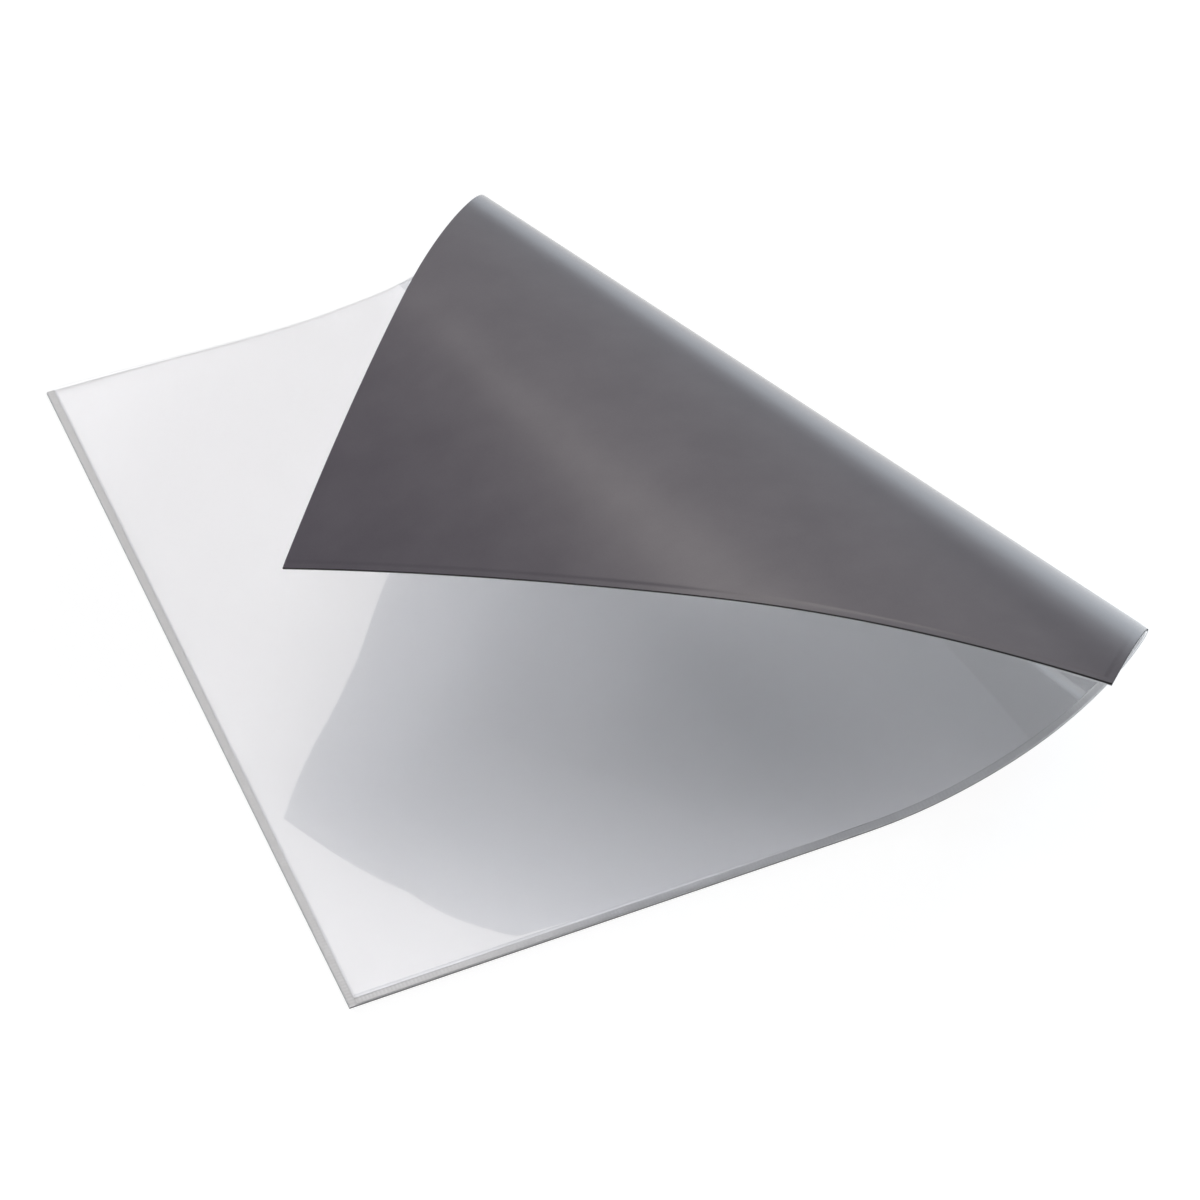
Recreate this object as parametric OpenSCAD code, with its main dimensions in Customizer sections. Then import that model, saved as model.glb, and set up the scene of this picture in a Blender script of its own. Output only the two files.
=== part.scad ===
// Magnetic document pocket: a flexible magnet sheet with a white face, and a clear
// window film that is welded on along three sides and left open at the fourth.
// The pocket lies on its magnet side, and one short end is curled up and over.
// A flat sheet can only bend along straight lines. Here they all pass through one
// point beyond the mouth, so the curl is a cone that opens towards the front seam.

/* [Document] */
// Length of the document, along the front seam
document_l = 297; // [148:1:420]
// Width of the document, from the front seam to the mouth
document_w = 210; // [105:1:297]

/* [Seams] */
// Width of the welded seams
weld_w = 2.1; // [1.5:0.1:6]
// Play between the document and each side seam
side_play = 4.4; // [1:0.1:10]
// Play between the document and the front seam
front_play = 4.9; // [1:0.1:10]

/* [Layers] */
// Thickness of the magnet sheet
magnet_t = 0.6; // [0.3:0.05:2]
// Thickness of the white facing on the magnet sheet
facing_t = 0.1; // [0.05:0.01:0.5]
// Depth of the pocket between the facing and the window film
pocket_gap = 0.15; // [0.1:0.01:1]
// Thickness of the clear window film
film_t = 0.15; // [0.08:0.01:0.5]

/* [Curl] */
// Distance of the point where the bend lines meet from the left edge
apex_in = 44; // [20:1:80]
// Distance of that point beyond the mouth edge
apex_out = 217; // [180:1:300]
// Angle of the first bend line to the short edges
lift_angle = 12.8; // [10:0.1:16]
// Distance from the meeting point at which the bend radii hold
bend_reach = 350; // [320:1:380]
// Radius where the sheet lifts off
lift_r = 59; // [50:1:70]
// Angle through which it turns there
lift_turn = 31; // [25:1:36]
// Radius over the top of the curl
crest_r = 32; // [28:1:36]
// Angle through which the sheet turns over the top
crest_turn = 122; // [110:1:130]
// Radius behind the top
shoulder_r = 100; // [85:1:115]
// Angle through which the sheet turns behind the top
shoulder_turn = 33; // [28:1:38]
// Radius of the free end
flap_r = 400; // [300:10:600]
// Largest turn from one facet to the next
facet_turn = 2; // [1:0.5:4]

/* [Hidden] */

// Outer size of the flat pocket
pocket_l = document_l + 2 * (side_play + weld_w);
pocket_w = document_w + front_play + weld_w;

// Heights of the layers above the magnet's back face
facing_z = magnet_t;
pocket_z = facing_z + facing_t;
film_z = pocket_z + pocket_gap;
top_z = film_z + film_t;

// The layers as rectangles on the flat sheet: left, right, front and mouth edge
outline = [0, pocket_l, 0, pocket_w];
window = [weld_w, pocket_l - weld_w, weld_w, pocket_w];
left_seam = [0, weld_w, 0, pocket_w];
front_seam = [weld_w, pocket_l - weld_w, 0, weld_w];
right_seam = [pocket_l - weld_w, pocket_l, 0, pocket_w];

// Meeting point of the bend lines on the flat sheet, from the left front corner
apex = [apex_in, pocket_w + apex_out];
// The origin lies on the back face, in the middle of the part that stays flat
flat_l = apex.x + (apex.y - pocket_w / 2) * tan(lift_angle);
origin = [flat_l / 2, pocket_w / 2];
apex_point = [apex.x - origin.x, apex.y - origin.y, 0];

// Degrees between the bend lines that bound a bend of this radius and turn
function spread(r, turn) = turn * r / bend_reach;
// Bends in order from the first bend line: radius, and the angle where each starts
bend_r = [lift_r, crest_r, shoulder_r, flap_r];
crest_angle = lift_angle + spread(lift_r, lift_turn);
shoulder_angle = crest_angle + spread(crest_r, crest_turn);
flap_angle = shoulder_angle + spread(shoulder_r, shoulder_turn);
bend_angle = [lift_angle, crest_angle, shoulder_angle, flap_angle];

// A frame holds three directions: along the bend line, across it, and out of the front
function flat_frame(a) = [[sin(a), -cos(a), 0], [cos(a), sin(a), 0], [0, 0, 1]];
// Frame after the sheet has run on by a degrees of bend line at bend radius r
function rolled(f, r, a) =
    let (
        q = 1 / bend_reach,
        k = 1 / r,
        w = norm([q, k]),
        turn = w * a * bend_reach,
        s = sin(turn) / w,
        c = (1 - cos(turn)) / (w * w)
    )
    [
        (1 - c * q * q) * f[0] + s * q * f[1] + c * q * k * f[2],
        -s * q * f[0] + cos(turn) * f[1] + s * k * f[2],
        c * q * k * f[0] - s * k * f[1] + (1 - c * k * k) * f[2]
    ];
lift_frame = flat_frame(lift_angle);
crest_frame = rolled(lift_frame, lift_r, crest_angle - lift_angle);
shoulder_frame = rolled(crest_frame, crest_r, shoulder_angle - crest_angle);
flap_frame = rolled(shoulder_frame, shoulder_r, flap_angle - shoulder_angle);
bend_frame = [lift_frame, crest_frame, shoulder_frame, flap_frame];
// Number of bends that start before angle a
function bends_before(a) = len([for (start = bend_angle) if (start < a) start]);
function frame_at(a) =
    let (bend = bends_before(a) - 1)
    bend < 0 ? flat_frame(a) : rolled(bend_frame[bend], bend_r[bend], a - bend_angle[bend]);
// Turn of the sheet for each degree of bend line, just after angle a
function turn_rate(a) =
    let (bend = bends_before(a + still) - 1)
    bend < 0 ? 0 : bend_reach / bend_r[bend];
// Bend lines closer than this many degrees count as one
still = 1e-6;

// Angle of the bend line through a point of the flat sheet
function angle_of(p) = atan2(p.x - apex.x, apex.y - p.y);
function corner_angles(b) =
    [for (x = [b[0], b[1]], y = [b[2], b[3]]) angle_of([x, y])];

function sorted(v) =
    len(v) < 2 ? v :
    let (mid = v[floor(len(v) / 2)])
    concat(
        sorted([for (n = v) if (n < mid) n]),
        [mid],
        sorted([for (n = v) if (n > mid) n])
    );
function spaced(v) = [for (i = [0 : len(v) - 1]) if (i == 0 || v[i] - v[i - 1] > still) v[i]];

// Bend lines through every corner and bend, with even steps between them. All layers
// share these lines, so that they lie on each other facet by facet.
key_angles = spaced(sorted(concat(
    bend_angle,
    corner_angles(outline),
    corner_angles(window),
    corner_angles(front_seam)
)));
function steps_after(i) =
    let (span = key_angles[i + 1] - key_angles[i])
    max(1, ceil(span * turn_rate(key_angles[i]) / facet_turn));
bend_lines = concat(
    [
        for (i = [0 : len(key_angles) - 2])
            let (steps = steps_after(i), step = (key_angles[i + 1] - key_angles[i]) / steps)
            for (j = [0 : steps - 1]) key_angles[i] + j * step
    ],
    [key_angles[len(key_angles) - 1]]
);

// Nearest and farthest distance from the apex at which bend line a crosses rectangle b
function crossing(a, b) =
    let (
        ys = [(apex.y - b[3]) / cos(a), (apex.y - b[2]) / cos(a)],
        xs = abs(sin(a)) < still ? ys : [(b[0] - apex.x) / sin(a), (b[1] - apex.x) / sin(a)]
    )
    [max(ys[0], min(xs)), min(ys[1], max(xs))];

// Point on bend line a, at distance d from the apex and height h over the back face
function on_sheet(a, d, h) =
    let (f = frame_at(a))
    apex_point + d * f[0] + h * f[2];

// Triangles between two bend lines, each given as its point numbers near bottom,
// far bottom, far top and near top. Neighbours share the diagonals of their edges.
function strip(m, n) = [
    [m[3], n[3], n[2]],
    [m[3], n[2], m[2]],
    [m[0], m[1], n[1]],
    [m[0], n[1], n[0]],
    [m[0], n[0], n[3]],
    [m[0], n[3], m[3]],
    [m[1], m[2], n[2]],
    [m[1], n[2], n[1]]
];
function is_face(t) = t[0] != t[1] && t[1] != t[2] && t[2] != t[0];

// One layer of the sheet: rectangle b of the flat sheet, from height h0 to h1,
// bent along the bend lines. Its first and last bend line only touch a corner.
module layer(b, h0, h1) {
    corners = corner_angles(b);
    first = min(corners);
    last = max(corners);
    inner = [for (a = bend_lines) if (a > first + still && a < last - still) a];
    start = crossing(first, b)[0];
    end = crossing(last, b)[0];
    points = [
        on_sheet(first, start, h0),
        on_sheet(first, start, h1),
        for (a = inner) let (d = crossing(a, b)) each [
            on_sheet(a, d[0], h0),
            on_sheet(a, d[1], h0),
            on_sheet(a, d[1], h1),
            on_sheet(a, d[0], h1)
        ],
        on_sheet(last, end, h0),
        on_sheet(last, end, h1)
    ];
    tail = 2 + 4 * len(inner);
    lines = concat(
        [[0, 0, 1, 1]],
        [for (i = [0 : len(inner) - 1]) [2, 3, 4, 5] + 4 * i * [1, 1, 1, 1]],
        [[tail, tail, tail + 1, tail + 1]]
    );
    faces = [
        for (i = [0 : len(lines) - 2])
            for (t = strip(lines[i], lines[i + 1])) if (is_face(t)) t
    ];
    polyhedron(points, faces);
}

// Magnetised ferrite in a soft binder: its bare back is the side that holds
module magnet_sheet() {
    color([0.40, 0.38, 0.39]) layer(outline, 0, facing_z);
}

// White film laminated over the whole front of the magnet sheet
module white_facing() {
    color([0.95, 0.95, 0.95]) layer(outline, facing_z, pocket_z);
}

// Clear pane of the pocket, free of the facing and open at the mouth
module window_film() {
    color([0.85, 0.90, 0.93, 0.4]) layer(window, film_z, top_z);
}

// The seams are the strips where film and facing are welded into one
module weld_left() {
    color([0.78, 0.78, 0.79]) layer(left_seam, pocket_z, top_z);
}

module weld_front() {
    color([0.78, 0.78, 0.79]) layer(front_seam, pocket_z, top_z);
}

module weld_right() {
    color([0.78, 0.78, 0.79]) layer(right_seam, pocket_z, top_z);
}

magnet_sheet();
white_facing();
window_film();
weld_left();
weld_front();
weld_right();
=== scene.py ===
# %% [markdown]
# A magnetic document pocket is a laminate: a thin magnet sheet, a white facing on it, and a
# clear film welded over the facing on three sides. Here it lies on a table with one end
# curled up and over, so that both its glossy front and its dark back show.
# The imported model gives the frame. Everything below is made in that frame, in metres.

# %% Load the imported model
import math

import bpy
import numpy as np
from mathutils import Matrix, Vector


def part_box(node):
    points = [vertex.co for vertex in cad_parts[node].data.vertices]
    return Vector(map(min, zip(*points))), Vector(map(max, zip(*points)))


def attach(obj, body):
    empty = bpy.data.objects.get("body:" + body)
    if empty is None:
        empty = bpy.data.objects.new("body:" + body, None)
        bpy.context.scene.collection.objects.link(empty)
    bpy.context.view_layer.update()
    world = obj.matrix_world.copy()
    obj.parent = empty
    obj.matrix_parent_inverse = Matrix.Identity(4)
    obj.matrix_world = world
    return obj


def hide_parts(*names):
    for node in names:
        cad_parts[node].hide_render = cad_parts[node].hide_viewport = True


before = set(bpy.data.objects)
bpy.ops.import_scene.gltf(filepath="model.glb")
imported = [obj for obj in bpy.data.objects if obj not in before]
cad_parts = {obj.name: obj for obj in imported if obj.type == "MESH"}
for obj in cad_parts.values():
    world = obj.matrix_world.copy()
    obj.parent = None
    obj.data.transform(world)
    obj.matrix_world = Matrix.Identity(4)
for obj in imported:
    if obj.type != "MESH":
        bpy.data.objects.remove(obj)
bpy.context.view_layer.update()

# %% [markdown]
# The left seam lies on the flat part, so its box gives the width of the sheet, the width of a
# seam and the heights of the layers. The length, the bend and the thickness of the two films
# can't be read from a box, so they are repeated here from the part's own dimensions.

# %% Sizes of the flat sheet and its layers
MM = 0.001
seam_low, seam_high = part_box("weld_left")
LEFT = seam_low[0]
FRONT = seam_low[1]
SHEET_L = 310 * MM
SHEET_W = seam_high[1] - FRONT
WELD_W = seam_high[0] - LEFT
POCKET_Z = seam_low[2]
TOP_Z = seam_high[2]
FACING_T = 0.1 * MM
FILM_T = 0.15 * MM
MAGNET_T = POCKET_Z - FACING_T
FILM_Z = TOP_Z - FILM_T
print(f"sheet {SHEET_L * 1000:.1f} x {SHEET_W * 1000:.1f} mm, seams {WELD_W * 1000:.1f} mm wide")

# %% [markdown]
# A flat sheet can only bend along straight lines, as a page does. Here the lines all pass
# through one point beyond the mouth, so the curl is a cone: tight at the back, wide in front.
# A lattice or a curve deform would stretch the sheet. Walking a small frame from bend line to
# bend line keeps every length true, and lets the curvature change softly, as a springy
# laminate does, where a row of plain arcs would show a crease in every reflection.

# %% Walk along the bend lines
APEX_IN = 44 * MM
APEX_OUT = 217 * MM
BEND_REACH = 350 * MM
# Angles are in degrees. A bend line's angle is counted from the short edges of the sheet.
LIFT_ANGLE = 12.8
# Radius at BEND_REACH from the apex, and turn: lift, crest, shoulder, and a flap that runs on
# past the end of the sheet
BENDS = [(59 * MM, 31), (32 * MM, 122), (100 * MM, 33), (400 * MM, 90)]
# One bend eases into the next over this angle
SOFT_ANGLE = 2.4
STEP_ANGLE = 0.02
# A little more than the sheet covers
FIRST_ANGLE, LAST_ANGLE = -16.0, 56.0
apex = np.array([APEX_IN, SHEET_W + APEX_OUT])


def curvature(angles):
    """Bend of the sheet, in 1/m at BEND_REACH from the apex, for each bend line's angle."""
    bend = np.zeros_like(angles)
    start = LIFT_ANGLE
    for radius, turn in BENDS:
        end = start + turn * radius / BEND_REACH
        bend[(angles >= start) & (angles < end)] = 1 / radius
        start = end
    wide = int(SOFT_ANGLE / STEP_ANGLE) | 1
    return np.convolve(np.pad(bend, wide // 2, mode="edge"), np.ones(wide) / wide, "valid")


def next_frame(f, bend):
    """The frame one step on: rows run along the bend line, across it and out of the front."""
    q = 1 / BEND_REACH
    w = math.hypot(q, bend)
    turn = w * math.radians(STEP_ANGLE) * BEND_REACH
    s, c = math.sin(turn) / w, (1 - math.cos(turn)) / w**2
    step = [
        [1 - c * q * q, s * q, c * q * bend],
        [-s * q, math.cos(turn), s * bend],
        [c * q * bend, -s * bend, 1 - c * bend**2],
    ]
    return np.array(step) @ f


line_angles = np.arange(FIRST_ANGLE, LAST_ANGLE, STEP_ANGLE)
first = math.radians(FIRST_ANGLE)
down_line = [math.sin(first), -math.cos(first), 0]
across_line = [math.cos(first), math.sin(first), 0]
frames = [np.array([down_line, across_line, [0, 0, 1]])]
for bend in curvature(line_angles + STEP_ANGLE / 2)[:-1]:
    frames.append(next_frame(frames[-1], bend))
frames = np.array(frames)
lean = math.degrees(math.acos(frames[-1][2][2]))
print(f"{len(frames)} bend lines, the sheet leans {lean:.0f} degrees at the last one")

# %% [markdown]
# Beside the curl the mouth edge lies up to about 2.4 mm further in than a straight edge would.
# One view can't tell why: the cut, a wave in the sheet or the fitted camera may be the cause.
# Here it is drawn as a bow of the edge, laid over the flat sheet before bending, so that all
# layers share it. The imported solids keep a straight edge.

# %% Place points on the bent sheet
BOW = 2.6 * MM
# Place of its deepest point from the left edge, and how far it runs to both sides of that
BOW_AT = 70 * MM
BOW_LEFT, BOW_RIGHT = 46 * MM, 25 * MM
# Width of the sheet, in from the mouth, that is moved with the edge
BOW_REACH = 40 * MM


def eased(t):
    """A soft step from 0 to 1."""
    t = np.clip(t, 0, 1)
    return t * t * (3 - 2 * t)


def trimmed(x, y):
    """The y of points on the flat sheet, moved in towards the front near the bowed mouth."""
    bow = BOW * np.exp(-(((x - BOW_AT) / np.where(x < BOW_AT, BOW_LEFT, BOW_RIGHT)) ** 2))
    return y - bow * eased((y - SHEET_W + BOW_REACH) / BOW_REACH)


def bent(x, y, h):
    """Places in the part's frame of points x, y on the flat sheet, h over the back face."""
    y = trimmed(x, y)
    away = np.degrees(np.arctan2(x - apex[0], apex[1] - y))
    far = np.hypot(x - apex[0], apex[1] - y)
    at = (away - FIRST_ANGLE) / STEP_ANGLE
    low = np.floor(at).astype(int)
    part = (at - low)[..., None, None]
    f = (1 - part) * frames[low] + part * frames[low + 1]
    place = far[..., None] * f[..., 0, :] + h[..., None] * f[..., 2, :]
    return place + [apex[0] + LEFT, apex[1] + FRONT, 0]


corners = bent(np.array([0, SHEET_L]), np.array([0, SHEET_W]), np.zeros(2))
print("front left and curled mouth corners, mm", (corners * 1000).round(1).tolist())

# %% [markdown]
# Each layer is a closed slab: a grid of points on its upper and lower side and a rim between
# them with slightly broken edges. The grid lines stand close together near the edges, where
# the seams are, and further apart inside. A plain grid with Solidify would be quicker, but it
# can't carry ribs on one side only.
# The rim is a short list of levels: how much of the broken edge is taken off, and how high.

# %% Build a slab on the sheet
GRID = 2.0 * MM
EDGE_GRID = 0.4 * MM
EDGE_ZONE = 4.0 * MM
CREASE_ANGLE = 30
RIM = [(1.0, 0.0), (0.3, 0.1), (0.0, 0.3), (0.0, 0.7), (0.3, 0.9), (1.0, 1.0)]


def even_lines(low, high, step):
    """Positions from low to high, about step apart."""
    return np.linspace(low, high, round((high - low) / step) + 1)


def grid_lines(low, high):
    """Positions from low to high that stand closer together in a zone at both ends."""
    inner = even_lines(low + EDGE_ZONE, high - EDGE_ZONE, GRID)
    edge = even_lines(0, EDGE_ZONE, EDGE_GRID)[:-1]
    return np.concatenate([low + edge, inner, high - edge[::-1]])


def slab(name, xs, ys, lower, upper, broken):
    """Closed mesh over the lines xs, ys between two height functions of x and y."""
    across, along = len(xs), len(ys)
    border = [(i, 0) for i in range(across)] + [(across - 1, j) for j in range(1, along)]
    border += [(i, along - 1) for i in range(across - 2, -1, -1)]
    border += [(0, j) for j in range(along - 2, 0, -1)]
    bi, bj = np.array(border).T

    def inset(share):
        wide = 1 - 2 * broken * share / (xs[-1] - xs[0])
        deep = 1 - 2 * broken * share / (ys[-1] - ys[0])
        mid_x, mid_y = (xs[0] + xs[-1]) / 2, (ys[0] + ys[-1]) / 2
        return np.meshgrid(mid_x + (xs - mid_x) * wide, mid_y + (ys - mid_y) * deep, indexing="ij")

    def level(share, part):
        x, y = inset(share)
        low, high = lower(x, y), upper(x, y)
        return bent(x, y, low + part * (high - low))

    bottom, top = level(*RIM[0]), level(*RIM[-1])
    rings = [level(*r)[bi, bj] for r in RIM[1:-1]]
    points = np.concatenate([bottom.reshape(-1, 3), top.reshape(-1, 3), *rings])
    cell = np.arange(across * along).reshape(across, along)
    around = [cell[:-1, :-1], cell[1:, :-1], cell[1:, 1:], cell[:-1, 1:]]
    quads = np.stack(around, -1).reshape(-1, 4)
    size = across * along
    loops = [cell[bi, bj]]
    loops += [2 * size + k * len(border) + np.arange(len(border)) for k in range(len(rings))]
    loops += [size + cell[bi, bj]]
    faces = [quads[:, ::-1], quads + size]
    for under, over in zip(loops, loops[1:]):
        faces.append(np.stack([under, np.roll(under, -1), np.roll(over, -1), over], -1))
    mesh = bpy.data.meshes.new(name)
    mesh.from_pydata(points.tolist(), [], np.concatenate(faces).tolist())
    mesh.shade_smooth()
    mesh.set_sharp_from_angle(angle=math.radians(CREASE_ANGLE))
    piece = bpy.data.objects.new(name, mesh)
    bpy.context.scene.collection.objects.link(piece)
    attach(piece, "root")
    print(name, len(mesh.polygons), "faces")
    return piece


def level_at(height):
    """A height function that is the same all over."""
    return lambda x, y: np.full_like(x, height)


print("grid lines over the length of the sheet:", len(grid_lines(0, SHEET_L)))

# %% [markdown]
# Colours are written as sRGB hex, as a paint chart would give them, and one function turns
# them into the linear values that shaders use. One more function adds a node to a material.

# %% Helpers for materials
def colour(code):
    """Linear red, green, blue and alpha of an sRGB hex colour."""
    parts = [int(code[i : i + 2], 16) / 255 for i in (1, 3, 5)]
    return [p / 12.92 if p <= 0.04045 else ((p + 0.055) / 1.055) ** 2.4 for p in parts] + [1.0]


def node(tree, kind, settings=None, values=None, links=None):
    """Add a node with its settings, the values of its sockets, and links from other sockets."""
    made = tree.nodes.new(kind)
    for key, value in (settings or {}).items():
        setattr(made, key, value)
    for key, value in (values or {}).items():
        made.inputs[key].default_value = value
    for key, source in (links or {}).items():
        tree.links.new(source, made.inputs[key])
    return made


def material(name, **values):
    """A new material, its node tree and its Principled shader, with these values on its sockets."""
    made = bpy.data.materials.new(name)
    made.use_nodes = True
    shader = made.node_tree.nodes["Principled BSDF"]
    for key, value in values.items():
        shader.inputs[key.replace("_", " ")].default_value = value
    return made, made.node_tree, shader


def per_mm(size_mm):
    """Scale, per metre, of a noise texture whose features are about this many mm wide."""
    return 1 / (size_mm * MM)


print(f"sRGB #808080 is {colour('#808080')[0]:.3f} in linear light")

# %% [markdown]
# The magnet sheet is ferrite powder in a soft binder, rolled to 0.6 mm. The seams on the other
# side were pressed hot, and leave a very shallow print along three edges of its bare back.
# The print is made in the mesh, because a bump alone would vanish at the outline.

# %% Magnet sheet
PRINT_DEPTH = 0.08 * MM
# Width of the soft step beside the print
PRINT_EDGE = 0.5 * MM
MAGNET_BREAK = 0.1 * MM


def seam_share(x, y):
    """1 on the three seams, 0 on the pane, with a soft step between."""
    inside = np.minimum(np.minimum(x, SHEET_L - x), y)
    return np.clip((WELD_W + PRINT_EDGE / 2 - inside) / PRINT_EDGE, 0, 1)


def magnet_back(x, y):
    return PRINT_DEPTH * seam_share(x, y)


sheet_x = grid_lines(0, SHEET_L)
sheet_y = grid_lines(0, SHEET_W)
magnet = slab("magnet_sheet_back", sheet_x, sheet_y, magnet_back, level_at(MAGNET_T), MAGNET_BREAK)
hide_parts("magnet_sheet")

# %% [markdown]
# Rolling squeezes a thin skin of binder out of the compound. So the back is a dull brown-grey
# body, mottled and finely grained, under a smoother skin. A rough shader with a coat does both.

# %% Bonded ferrite, calendered
# Real ferrite powder is far finer than this. It is drawn coarser, or it would not show.
GRAIN_MM = 0.35
GRAIN_DEPTH = 0.02 * MM
GRAIN_STRENGTH = 0.25
MOTTLE_MM = 14
# Share of the fine grain in the pattern, and the noise levels of its two tones
GRAIN_SHARE = 0.35
DARK_AT, LIGHT_AT = 0.3, 0.7
# Dull under a satin skin: the eye sees a soft sheen on the flap and a bright band on its ridge.
ferrite, tree, shader = material(
    "bonded_ferrite_calendered", Roughness=0.5, IOR=1.6, Coat_Weight=1.0, Coat_Roughness=0.2
)
place = node(tree, "ShaderNodeTexCoord").outputs["Object"]
grain = node(
    tree,
    "ShaderNodeTexNoise",
    values={"Scale": per_mm(GRAIN_MM), "Detail": 3},
    links={"Vector": place},
)
mottle = node(
    tree,
    "ShaderNodeTexNoise",
    values={"Scale": per_mm(MOTTLE_MM), "Detail": 4},
    links={"Vector": place},
)
blend = node(
    tree,
    "ShaderNodeMix",
    {"data_type": "FLOAT"},
    {"Factor": GRAIN_SHARE},
    {"A": mottle.outputs["Fac"], "B": grain.outputs["Fac"]},
)
tones = node(tree, "ShaderNodeValToRGB", links={"Fac": blend.outputs["Result"]})
dark, light = tones.color_ramp.elements
dark.position, light.position = DARK_AT, LIGHT_AT
dark.color, light.color = colour("#57515a"), colour("#645e66")
tree.links.new(tones.outputs["Color"], shader.inputs["Base Color"])
bump = node(
    tree,
    "ShaderNodeBump",
    values={"Strength": GRAIN_STRENGTH, "Distance": GRAIN_DEPTH},
    links={"Height": grain.outputs["Fac"]},
)
tree.links.new(bump.outputs["Normal"], shader.inputs["Normal"])
magnet.data.materials.append(ferrite)
print(f"back: {ferrite.name}, grain {GRAIN_MM} mm, mottle {MOTTLE_MM} mm")

# %% [markdown]
# The sheet is slit to size with knives. The cut shows the raw compound: nearly black and dull,
# a dark line along every edge. The rim faces come last in a slab, so they are easy to pick.

# %% Slit edge of the magnet sheet
# Raw and rough: the eye sees a thin line, darker than the back, that draws every edge.
slit, tree, shader = material("bonded_ferrite_slit", Roughness=0.6, IOR=1.5)
place = node(tree, "ShaderNodeTexCoord").outputs["Object"]
torn = node(
    tree,
    "ShaderNodeTexNoise",
    values={"Scale": per_mm(GRAIN_MM), "Detail": 2},
    links={"Vector": place},
)
tones = node(tree, "ShaderNodeValToRGB", links={"Fac": torn.outputs["Fac"]})
dark, light = tones.color_ramp.elements
dark.color, light.color = colour("#1d1a1b"), colour("#2a2728")
tree.links.new(tones.outputs["Color"], shader.inputs["Base Color"])
magnet.data.materials.append(slit)
flat_faces = 2 * (len(sheet_x) - 1) * (len(sheet_y) - 1)
for face in magnet.data.polygons[flat_faces:]:
    face.material_index = 1
print("edge:", slit.name, len(magnet.data.polygons) - flat_faces, "faces")

# %% [markdown]
# The facing is a white vinyl film laminated on the magnet sheet. It shows only through the
# window and as a hair line at the edges. It is a slab of its own and not a painted face, as
# the seams and the open mouth let its edge be seen.

# %% White facing
FACING_BREAK = 0.02 * MM
CLOUD_MM = 30
facing = slab(
    "white_facing_film", sheet_x, sheet_y, level_at(MAGNET_T), level_at(POCKET_Z), FACING_BREAK
)
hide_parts("white_facing")

# Very pale and half matt: the eye sees clean white paper-like ground behind the glossy pane.
vinyl, tree, shader = material("white_vinyl_calendered", Roughness=0.35, IOR=1.53)
place = node(tree, "ShaderNodeTexCoord").outputs["Object"]
cloud = node(
    tree,
    "ShaderNodeTexNoise",
    values={"Scale": per_mm(CLOUD_MM), "Detail": 2},
    links={"Vector": place},
)
tones = node(tree, "ShaderNodeValToRGB", links={"Fac": cloud.outputs["Fac"]})
dark, light = tones.color_ramp.elements
dark.color, light.color = colour("#f0efef"), colour("#f3f2f2")
tree.links.new(tones.outputs["Color"], shader.inputs["Base Color"])
facing.data.materials.append(vinyl)
print(f"facing: {vinyl.name}, clouds {CLOUD_MM} mm wide")

# %% [markdown]
# The window is a clear, press-polished vinyl pane. It is never quite flat: it leaves the seams
# with a small steep bead, sinks slowly behind it, bulges a little to the left of the curl and
# stands open by a hair at the mouth. These small slopes bend the mirror image of the curl in it.
# They are modelled and not bumped, since a mirror image shows every slope at its true size.

# %% Window film
# Height of the bead, and how far from the seam it rises and falls
BEAD_H = 0.7 * MM
BEAD_RISE = 0.15 * MM
BEAD_FALL = 22 * MM
# Along the sheet the bead is whole up to FLAT_L and fades out over the next CURL_L
FLAT_L = 90 * MM
CURL_L = 60 * MM
# Height, radius and place of the bulge, from the left front corner
BULGE_H = 0.8 * MM
BULGE_R = 26 * MM
BULGE_AT = (45 * MM, 140 * MM)
# Opening of the lip, its reach into the pocket, and its middle and half length along the mouth
LIP = 0.2 * MM
LIP_REACH = 22 * MM
LIP_MID = 45 * MM
LIP_HALF = 60 * MM
FILM_BREAK = 0.03 * MM


def film_rise(x, y):
    """How far the pane stands off its resting height."""
    clear = np.clip(np.minimum(np.minimum(x - WELD_W, SHEET_L - WELD_W - x), y - WELD_W), 0, None)
    held = 1 - np.exp(-clear / BEAD_RISE)
    bead = BEAD_H * np.exp(-((clear / BEAD_FALL) ** 2)) * (1 - eased((x - FLAT_L) / CURL_L))
    bulge = BULGE_H * np.exp(-((x - BULGE_AT[0]) ** 2 + (y - BULGE_AT[1]) ** 2) / BULGE_R**2)
    open_part = np.clip(1 - ((x - LIP_MID) / LIP_HALF) ** 2, 0, None) ** 2
    lip = LIP * open_part * np.exp(-(SHEET_W - y) / LIP_REACH)
    return held * (bead + bulge + lip)


def film_low(x, y):
    return FILM_Z + film_rise(x, y)


def film_high(x, y):
    return TOP_Z + film_rise(x, y)


pane_x = grid_lines(WELD_W, SHEET_L - WELD_W)
pane_y = grid_lines(WELD_W, SHEET_W)
film = slab("clear_window_film", pane_x, pane_y, film_low, film_high, FILM_BREAK)
slack = film_rise(*np.meshgrid(pane_x, pane_y)).max()
print(f"the pane stands off by up to {slack * 1000:.2f} mm")
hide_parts("window_film")

# %% [markdown]
# Polishing leaves the film almost as smooth as glass, with a faint haze in patches. A path
# tracer lets a refracting film block the lamps' direct light, which a real clear film hardly
# does. So its shadow is turned off, and the facing below is lit as if by bare lamps.

# %% Clear vinyl, press-polished
HAZE_MM = 25
# Roughness where the polish is best and where the haze is strongest
POLISHED, HAZY = 0.015, 0.05
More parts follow.
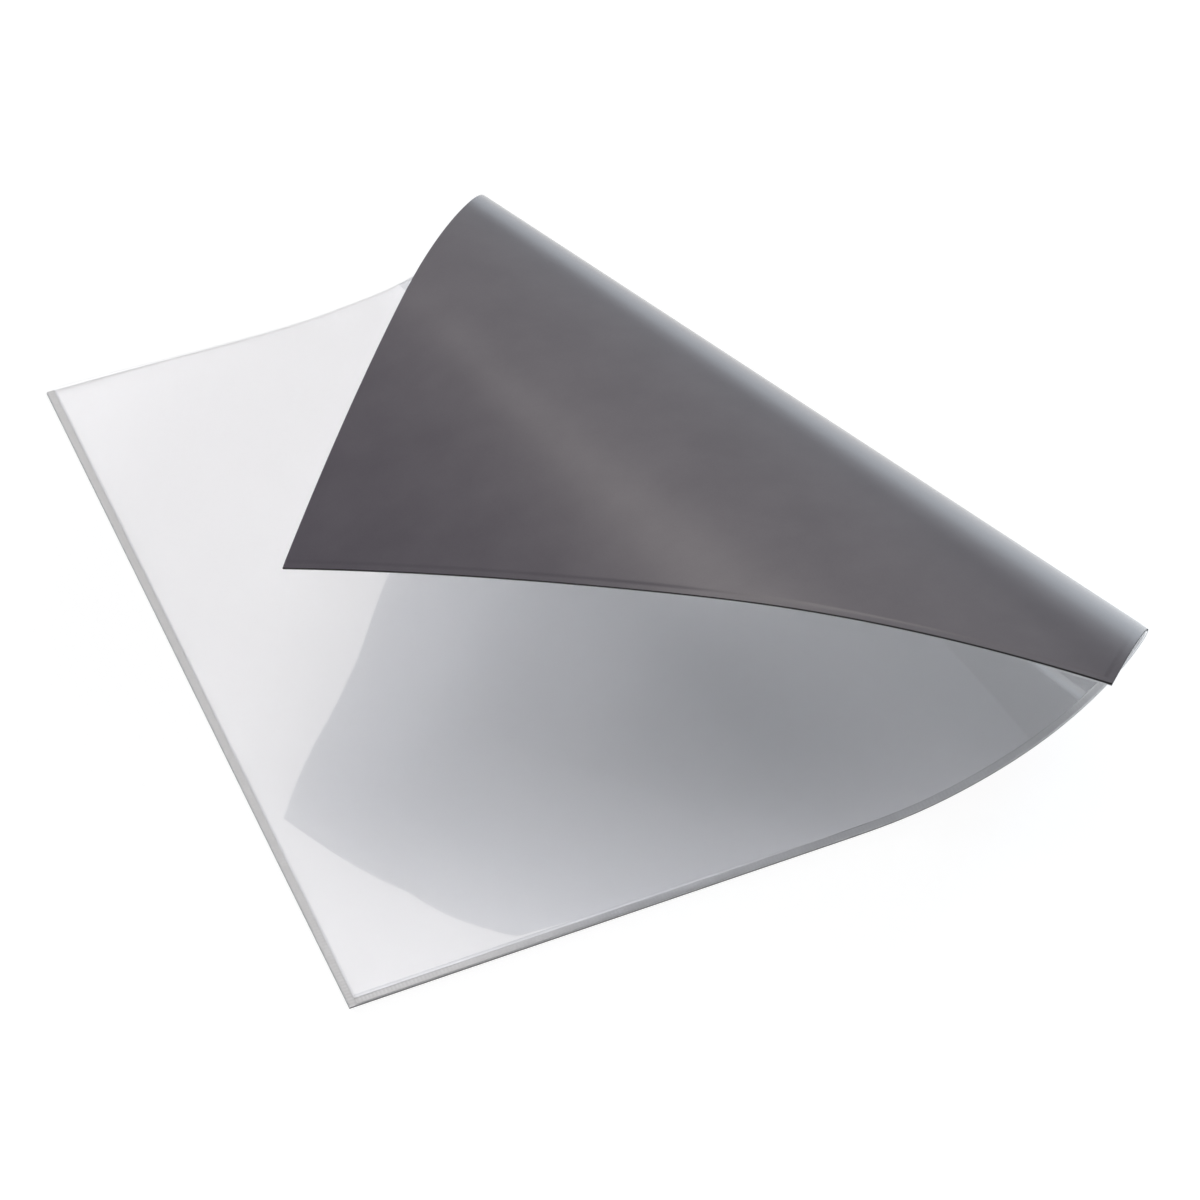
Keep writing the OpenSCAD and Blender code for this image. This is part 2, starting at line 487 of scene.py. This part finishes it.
# Clear and glossy: the eye sees the white through it and the flap mirrored in it.
clear, tree, shader = material("clear_vinyl_press_polished", IOR=1.53, Transmission_Weight=1.0)
shader.inputs["Base Color"].default_value = colour("#fafbfd")
film.visible_shadow = False
place = node(tree, "ShaderNodeTexCoord").outputs["Object"]
haze = node(
    tree,
    "ShaderNodeTexNoise",
    values={"Scale": per_mm(HAZE_MM), "Detail": 3},
    links={"Vector": place},
)
polish = node(
    tree,
    "ShaderNodeMapRange",
    values={"To Min": POLISHED, "To Max": HAZY},
    links={"Value": haze.outputs["Fac"]},
)
tree.links.new(polish.outputs["Result"], shader.inputs["Roughness"])
film.data.materials.append(clear)
print(f"window: {clear.name}, haze in patches of {HAZE_MM} mm")

# %% [markdown]
# The seams were welded under a ribbed electrode, which pressed the film into the facing. Each
# is a shallow channel with a bevel on the inner side, cross ribs, and a rim squeezed thin
# along the cut. All of it is in the mesh, so that the ribs catch the light one by one.

# %% Ribbed seams
# Ribs on such seams are often finer. These are drawn as coarse as the picture needs.
RIB_PITCH = 1.0 * MM
RIB_H = 0.045 * MM
# Depth of the channel, and width of the bevel that leads from the pane down into it
CHANNEL = 0.08 * MM
BEVEL_W = 0.45 * MM
# Thickness and width of the rim squeezed thin along the cut
RIM_T = 0.04 * MM
RIM_W = 0.25 * MM
RIB_GRID = 0.2 * MM
SEAM_BREAK = 0.03 * MM


def pressed(across, along):
    """Height of a seam's surface, from the distances across it from the cut edge and along it."""
    sunk = eased((WELD_W - across) / BEVEL_W)
    rib = 0.5 + 0.5 * np.cos(2 * np.pi * along / RIB_PITCH)
    top = TOP_Z - sunk * (CHANNEL - RIB_H * rib)
    thin = POCKET_Z + RIM_T
    return thin + eased(across / RIM_W) * (top - thin)


seam_floor = level_at(POCKET_Z)
short_x = even_lines(0, WELD_W, RIB_GRID)
long_y = even_lines(0, SHEET_W, RIB_GRID)
front_x = even_lines(WELD_W, SHEET_L - WELD_W, RIB_GRID)
seams = {
    "weld_left": slab("ribbed_seam_left", short_x, long_y, seam_floor, pressed, SEAM_BREAK),
    "weld_front": slab(
        "ribbed_seam_front", front_x, short_x, seam_floor, lambda x, y: pressed(y, x), SEAM_BREAK
    ),
    "weld_right": slab(
        "ribbed_seam_right",
        SHEET_L - short_x[::-1],
        long_y,
        seam_floor,
        lambda x, y: pressed(SHEET_L - x, y),
        SEAM_BREAK,
    ),
}
print(f"ribs along the front seam: {(front_x[-1] - front_x[0]) / RIB_PITCH:.0f}")

# %% [markdown]
# In the seam the clear film and the white facing have melted into one. The white shows through
# a skin that took the electrode's finish, so it is a glossy coat on a slightly clouded body.

# %% Fused vinyl
MELT_MM = 3
# Pale grey and shiny: the eye sees a frame round the pane, lit in one place and dim in another.
fused, tree, shader = material(
    "vinyl_fused_under_ribs",
    Roughness=0.25,
    IOR=1.53,
    Specular_IOR_Level=0.9,
    Coat_Weight=1.0,
    Coat_IOR=1.7,
    Coat_Roughness=0.12,
)
place = node(tree, "ShaderNodeTexCoord").outputs["Object"]
melt = node(
    tree,
    "ShaderNodeTexNoise",
    values={"Scale": per_mm(MELT_MM), "Detail": 3},
    links={"Vector": place},
)
tones = node(tree, "ShaderNodeValToRGB", links={"Fac": melt.outputs["Fac"]})
dark, light = tones.color_ramp.elements
dark.color, light.color = colour("#dddde0"), colour("#e7e7e9")
tree.links.new(tones.outputs["Color"], shader.inputs["Base Color"])
for name, seam in seams.items():
    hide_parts(name)
    seam.data.materials.append(fused)
print(f"seams: {fused.name} on", list(seams))

# %% [markdown]
# The floor is a plain pale table. A studio table is lit until it burns out to white, so this
# one gives off light of its own, which also keeps the shadows faint. The glow is strongest in
# a ring round the pocket and fades outside it. The ridge of the curl mirrors that ring as a
# bright band, which ends where the ring fades.

# %% Floor
FLOOR_HALF = 6.0
GLOW = 1.62
# The colour ramp of the glow covers this distance, in metres
GLOW_REACH = 1.5
# Distance from the origin, in the middle of the flat part, in metres, and colour of the glow
GLOW_RING = [(0.16, "#c4c4c4"), (0.3, "#d1dae2"), (0.5, "#d1dae2"), (0.8, "#909498")]
corner_signs = [(-1, -1), (1, -1), (1, 1), (-1, 1)]
floor_mesh = bpy.data.meshes.new("floor")
floor_corners = [(sx * FLOOR_HALF, sy * FLOOR_HALF, 0) for sx, sy in corner_signs]
floor_mesh.from_pydata(floor_corners, [], [(0, 1, 2, 3)])
floor = bpy.data.objects.new("floor", floor_mesh)
bpy.context.scene.collection.objects.link(floor)
# Matt and glowing: the eye sees a white ground without an edge.
pale, tree, shader = material("pale_table_matt", Roughness=0.9, Emission_Strength=GLOW)
shader.inputs["Base Color"].default_value = colour("#8c8c8c")
place = node(tree, "ShaderNodeTexCoord").outputs["Object"]
away = node(tree, "ShaderNodeVectorMath", {"operation": "LENGTH"}, links={"Vector": place})
reach = node(
    tree,
    "ShaderNodeMapRange",
    values={"From Max": GLOW_REACH},
    links={"Value": away.outputs["Value"]},
)
ring = node(tree, "ShaderNodeValToRGB", links={"Fac": reach.outputs["Result"]})
stops = ring.color_ramp.elements
for at, code in GLOW_RING:
    stops.new(at / GLOW_REACH).color = colour(code)
# The two stops that every ramp starts with are taken out again
stops.remove(stops[-1])
stops.remove(stops[0])
tree.links.new(ring.outputs["Color"], shader.inputs["Emission Color"])
floor.data.materials.append(pale)
print("floor:", 2 * FLOOR_HALF, "m wide, glow stops at", [at for at, _ in GLOW_RING], "m")

# %% [markdown]
# The camera comes from fitting the pocket's outline to the photograph: a long lens from far
# away, looking down at about 51 degrees.

# %% Camera
LENS_MM = 161.17
SENSOR_MM = 36
# Place of the camera, the direction of its right side and the direction in which it looks
EYE = Vector((-0.33711, -0.80824, 1.09488))
RIGHT = Vector((0.91497, -0.40228, 0.03171))
AHEAD = Vector((0.2753, 0.56482, -0.77794))
camera = bpy.data.objects.new("camera", bpy.data.cameras.new("camera"))
bpy.context.scene.collection.objects.link(camera)
camera.data.sensor_width = SENSOR_MM
camera.data.lens = LENS_MM
camera_axes = Matrix((RIGHT, RIGHT.cross(AHEAD), -AHEAD)).transposed().to_4x4()
camera.matrix_world = Matrix.Translation(EYE) @ camera_axes
bpy.context.scene.camera = camera
dip = math.degrees(math.asin(-AHEAD.z))
print(f"camera {EYE.length:.2f} m away, looks down at {dip:.0f} degrees")

# %% [markdown]
# A polished film shows what it mirrors. The camera looks down, so the light that the flat part
# mirrors into it stands behind the pocket at the same angle: a large softbox there makes the
# film bright, except where the curl gets in between. A dimmer one below it, low behind the
# pocket, gives the dark flap its sheen. The other lamps only light and are not mirrored, so
# that the gloss and the brightness of the white can be set apart from each other. One of them
# stands very low and shines through the mouth into the hollow of the curl.

# %% Lights
# All lamps are aimed at this point, inside the curl
AIM = Vector((0.04, 0, 0.03))
WARM_WHITE = "#fffaf5"
COOL_WHITE = "#fbfcff"
AMBIENT = 0.14


def softbox(name, toward, distance, size, watts, tint, mirrored=False):
    """An area light of this width and height, in metres, that is mirrored or only lights."""
    lamp = bpy.data.lights.new(name, "AREA")
    lamp.shape, lamp.energy = "RECTANGLE", watts
    lamp.size, lamp.size_y = size
    lamp.color = colour(tint)[:3]
    lamp.cycles.use_multiple_importance_sampling = mirrored
    lit = bpy.data.objects.new(name, lamp)
    bpy.context.scene.collection.objects.link(lit)
    toward = Vector(toward).normalized()
    lit.location = AIM + toward * distance
    lit.rotation_mode = "QUATERNION"
    lit.rotation_quaternion = toward.to_track_quat("Z", "Y")
    lit.visible_camera = False
    lit.visible_glossy = mirrored
    lit.visible_diffuse = not mirrored
    print(f"{name}: {watts} W, {math.degrees(math.asin(toward.z)):.0f} degrees up")


mirror_way = (AHEAD.x, AHEAD.y, -AHEAD.z)
softbox("mirrored_softbox", mirror_way, 3.0, (2.2, 1.9), 23, WARM_WHITE, mirrored=True)
softbox("sheen_softbox", (0.294, 0.905, 0.309), 3.0, (2.4, 1.6), 5.5, COOL_WHITE, mirrored=True)
softbox("back_left_softbox", (-0.8, 0.9, 0.35), 4.0, (2.8, 2.8), 57, COOL_WHITE)
softbox("mouth_softbox", (-0.45, 0.89, 0.08), 4.0, (1.6, 1.6), 72, COOL_WHITE)
softbox("high_left_softbox", (-0.6, 0.9, 0.9), 5.0, (3.2, 3.2), 40, COOL_WHITE)
softbox("right_softbox", (1.0, -0.4, 0.4), 4.0, (3.2, 3.2), 47, COOL_WHITE)
world = bpy.data.worlds.new("studio")
bpy.context.scene.world = world
world.use_nodes = True
surround = world.node_tree.nodes["Background"]
surround.inputs["Color"].default_value = colour("#ffffff")
surround.inputs["Strength"].default_value = AMBIENT
bpy.context.scene.view_settings.view_transform = "Standard"
